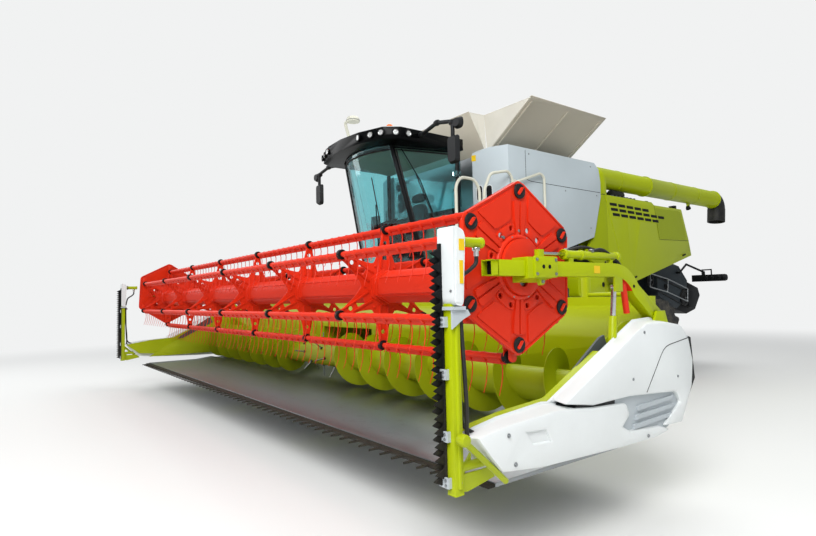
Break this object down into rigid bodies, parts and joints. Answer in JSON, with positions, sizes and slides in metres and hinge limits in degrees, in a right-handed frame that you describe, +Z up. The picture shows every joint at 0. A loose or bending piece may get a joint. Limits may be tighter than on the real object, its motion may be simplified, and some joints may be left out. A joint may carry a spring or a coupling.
{
  "type": "combine harvester with cutting header",
  "caption": "Self-propelled grain harvester with wide reel header, open tank covers, cab, swing-out unloading tube and steered rear wheels.",
  "frame": {"origin": "on the floor below the middle of the bounding box", "axes": "X to the machine's left, Y to its rear, Z up"},
  "size_m": [9.88, 11.7417, 4.58],
  "materials": {
    "lime_paint": "gloss",
    "white_paint": "gloss",
    "red_paint": "gloss",
    "black_paint": "satin",
    "grey_paint": "satin",
    "bare_steel": "brushed",
    "piston_chrome": "polished",
    "cast_block": "rough",
    "tyre_rubber": "matte",
    "spout_rubber": "matte",
    "black_plastic": "matte",
    "beacon_plastic": "gloss",
    "cover_sheet": "matte",
    "tinted_glass": "clear"
  },
  "bodies": {
    "machine": {"chassis": "grey_paint", "front_axle": "black_paint", "rear_axle": "black_paint", "engine": "cast_block", "cooling_pack": "black_paint", "grain_tank": "white_paint", "side_covers": "white_paint", "rear_hood": "lime_paint", "straw_chopper": "grey_paint", "light_arms": "black_paint", "cab_frame": "black_paint", "cab_roof": "white_paint", "cab_glass": "tinted_glass", "cab_interior": "black_plastic", "platform": "grey_paint", "mirrors": "black_plastic", "roof_fittings": "beacon_plastic", "corner_sheets": "cover_sheet"},
    "wheel_front_left": {"tyre_front_left": "tyre_rubber", "rim_front_left": "red_paint"},
    "wheel_front_right": {"tyre_front_right": "tyre_rubber", "rim_front_right": "red_paint"},
    "steering_left": {"knuckle_left": "black_paint"},
    "steering_right": {"knuckle_right": "black_paint"},
    "wheel_rear_left": {"tyre_rear_left": "tyre_rubber", "rim_rear_left": "red_paint"},
    "wheel_rear_right": {"tyre_rear_right": "tyre_rubber", "rim_rear_right": "red_paint"},
    "header": {"feeder_house": "lime_paint", "header_frame": "lime_paint", "header_table": "bare_steel", "knife": "bare_steel", "dividers": "white_paint", "side_knives": "bare_steel"},
    "header_lift_barrels": {"lift_barrels": "black_paint"},
    "header_lift_rods": {"lift_rods": "piston_chrome"},
    "auger": {"header_auger": "lime_paint"},
    "reel_support": {"reel_arms": "lime_paint"},
    "reel_cylinder_barrels": {"reel_lift_barrels": "lime_paint"},
    "reel_cylinder_rods": {"reel_lift_rods": "piston_chrome"},
    "reel_slider": {"reel_carriage": "lime_paint"},
    "reel_rotor": {"reel": "red_paint"},
    "reel_controls": {"reel_shields": "red_paint"},
    "tank_lid_left": {"lid_left": "white_paint"},
    "tank_lid_right": {"lid_right": "white_paint"},
    "tank_flap_front": {"flap_front": "white_paint"},
    "tank_flap_rear": {"flap_rear": "white_paint"},
    "unloader": {"unloading_tube": "lime_paint", "spout": "spout_rubber"},
    "door_cab": {"cab_door": "tinted_glass"},
    "ladder_swing": {"ladder": "grey_paint"},
    "door_service_left": {"service_door_left": "lime_paint"},
    "door_service_right": {"service_door_right": "lime_paint"},
    "tine_bar_1": {"reel_bar_1": "red_paint"},
    "tine_bar_2": {"reel_bar_2": "red_paint"},
    "tine_bar_3": {"reel_bar_3": "red_paint"},
    "tine_bar_4": {"reel_bar_4": "red_paint"},
    "tine_bar_5": {"reel_bar_5": "red_paint"},
    "tine_bar_6": {"reel_bar_6": "red_paint"}
  },
  "joints": [
    {"name": "spin_front_left", "type": "hinge", "parent": "machine", "child": "wheel_front_left", "pos_m": [1.35, -1.065, 0.975], "axis": [1, 0, 0], "continuous": true},
    {"name": "steer_left", "type": "hinge", "parent": "machine", "child": "steering_left", "pos_m": [1.01, 2.635, 0.76], "axis": [0, 0, 1], "range_deg": [-40, 40]},
    {"name": "spin_rear_left", "type": "hinge", "parent": "steering_left", "child": "wheel_rear_left", "pos_m": [1.3, 2.635, 0.76], "axis": [1, 0, 0], "continuous": true},
    {"name": "spin_front_right", "type": "hinge", "parent": "machine", "child": "wheel_front_right", "pos_m": [-1.35, -1.065, 0.975], "axis": [1, 0, 0], "continuous": true},
    {"name": "steer_right", "type": "hinge", "parent": "machine", "child": "steering_right", "pos_m": [-1.01, 2.635, 0.76], "axis": [0, 0, 1], "range_deg": [-40, 40]},
    {"name": "spin_rear_right", "type": "hinge", "parent": "steering_right", "child": "wheel_rear_right", "pos_m": [-1.3, 2.635, 0.76], "axis": [1, 0, 0], "continuous": true},
    {"name": "header_lift", "type": "hinge", "parent": "machine", "child": "header", "pos_m": [0, -1.665, 1.85], "axis": [-1, 0, 0], "range_deg": [-6.5, 19]},
    {"name": "lift_barrel_tilt", "type": "hinge", "parent": "machine", "child": "header_lift_barrels", "pos_m": [0, -1.395, 0.6], "axis": [-1, 0, 0], "range_deg": [-5, 13]},
    {"name": "lift_rod_slide", "type": "slide", "parent": "header_lift_barrels", "child": "header_lift_rods", "axis": [0, -0.9929, 0.1188], "range_m": [-0.15, 0.4]},
    {"name": "auger_spin", "type": "hinge", "parent": "header", "child": "auger", "pos_m": [0, -3.865, 0.87], "axis": [1, 0, 0], "continuous": true},
    {"name": "reel_lift", "type": "hinge", "parent": "header", "child": "reel_support", "pos_m": [0, -3.385, 1.46], "axis": [-1, 0, 0], "range_deg": [-12, 15]},
    {"name": "reel_barrel_tilt", "type": "hinge", "parent": "header", "child": "reel_cylinder_barrels", "pos_m": [0, -4.015, 1.01], "axis": [-1, 0, 0], "range_deg": [-4, 5]},
    {"name": "reel_rod_slide", "type": "slide", "parent": "reel_cylinder_barrels", "child": "reel_cylinder_rods", "axis": [0, 0.1293, 0.9916], "range_m": [-0.13, 0.16]},
    {"name": "reel_shift", "type": "slide", "parent": "reel_support", "child": "reel_slider", "axis": [0, 1, 0], "range_m": [-0.24, 0.22]},
    {"name": "reel_spin", "type": "hinge", "parent": "reel_slider", "child": "reel_rotor", "pos_m": [0, -4.865, 1.75], "axis": [1, 0, 0], "continuous": true},
    {"name": "control_spin", "type": "hinge", "parent": "reel_slider", "child": "reel_controls", "pos_m": [0, -4.865, 1.838], "axis": [1, 0, 0], "continuous": true},
    {"name": "tine_bar_spin_1", "type": "hinge", "parent": "reel_rotor", "child": "tine_bar_1", "pos_m": [0, -4.4025, 1.98769], "axis": [1, 0, 0], "continuous": true},
    {"name": "tine_bar_spin_2", "type": "hinge", "parent": "reel_rotor", "child": "tine_bar_2", "pos_m": [0, -4.8396, 2.26938], "axis": [1, 0, 0], "continuous": true},
    {"name": "tine_bar_spin_3", "type": "hinge", "parent": "reel_rotor", "child": "tine_bar_3", "pos_m": [0, -5.30209, 2.03169], "axis": [1, 0, 0], "continuous": true},
    {"name": "tine_bar_spin_4", "type": "hinge", "parent": "reel_rotor", "child": "tine_bar_4", "pos_m": [0, -5.3275, 1.51231], "axis": [1, 0, 0], "continuous": true},
    {"name": "tine_bar_spin_5", "type": "hinge", "parent": "reel_rotor", "child": "tine_bar_5", "pos_m": [0, -4.8904, 1.23062], "axis": [1, 0, 0], "continuous": true},
    {"name": "tine_bar_spin_6", "type": "hinge", "parent": "reel_rotor", "child": "tine_bar_6", "pos_m": [0, -4.42791, 1.46831], "axis": [1, 0, 0], "continuous": true},
    {"name": "tube_swing", "type": "hinge", "parent": "machine", "child": "unloader", "pos_m": [1.3, 0.985, 3.75], "axis": [0, 0, -1], "range_deg": [0, 100]},
    {"name": "lid_left_hinge", "type": "hinge", "parent": "machine", "child": "tank_lid_left", "pos_m": [1.1, -0.605, 3.8943], "axis": [0, -1, 0], "range_deg": [0, 145]},
    {"name": "lid_right_hinge", "type": "hinge", "parent": "machine", "child": "tank_lid_right", "pos_m": [-1.1, -0.605, 3.8943], "axis": [0, 1, 0], "range_deg": [0, 145]},
    {"name": "flap_front_hinge", "type": "hinge", "parent": "machine", "child": "tank_flap_front", "pos_m": [0, -1.5407, 3.874], "axis": [-1, 0, 0], "range_deg": [0, 115]},
    {"name": "flap_rear_hinge", "type": "hinge", "parent": "machine", "child": "tank_flap_rear", "pos_m": [0, 0.3307, 3.874], "axis": [1, 0, 0], "range_deg": [0, 115]},
    {"name": "cab_door_hinge", "type": "hinge", "parent": "machine", "child": "door_cab", "pos_m": [0.9523, -2.01, 3], "axis": [0, 0, 1], "range_deg": [0, 60]},
    {"name": "ladder_hinge", "type": "hinge", "parent": "machine", "child": "ladder_swing", "pos_m": [1.62, -2.745, 1.2], "axis": [0, 0, 1], "range_deg": [0, 90]},
    {"name": "service_left_hinge", "type": "hinge", "parent": "machine", "child": "door_service_left", "pos_m": [1.486, 1.935, 3.3683], "axis": [0, -1, 0], "range_deg": [0, 60]},
    {"name": "service_right_hinge", "type": "hinge", "parent": "machine", "child": "door_service_right", "pos_m": [-1.486, 1.935, 3.3683], "axis": [0, 1, 0], "range_deg": [0, 60]}
  ],
  "couplings": [
    {"joint": "steer_right", "follows": "steer_left", "ratio": 1},
    {"joint": "lift_barrel_tilt", "follows": "header_lift", "ratio": 0.62},
    {"joint": "lift_rod_slide", "follows": "header_lift", "m_per_rad": 1.17},
    {"joint": "reel_barrel_tilt", "follows": "reel_lift", "ratio": 0.24},
    {"joint": "reel_rod_slide", "follows": "reel_lift", "m_per_rad": 0.56},
    {"joint": "control_spin", "follows": "reel_spin", "ratio": 1},
    {"joint": "lid_right_hinge", "follows": "lid_left_hinge", "ratio": 1},
    {"joint": "flap_rear_hinge", "follows": "flap_front_hinge", "ratio": 1},
    {"joint": "tine_bar_spin_1", "follows": "reel_spin", "ratio": -1},
    {"joint": "tine_bar_spin_2", "follows": "reel_spin", "ratio": -1},
    {"joint": "tine_bar_spin_3", "follows": "reel_spin", "ratio": -1},
    {"joint": "tine_bar_spin_4", "follows": "reel_spin", "ratio": -1},
    {"joint": "tine_bar_spin_5", "follows": "reel_spin", "ratio": -1},
    {"joint": "tine_bar_spin_6", "follows": "reel_spin", "ratio": -1}
  ]
}
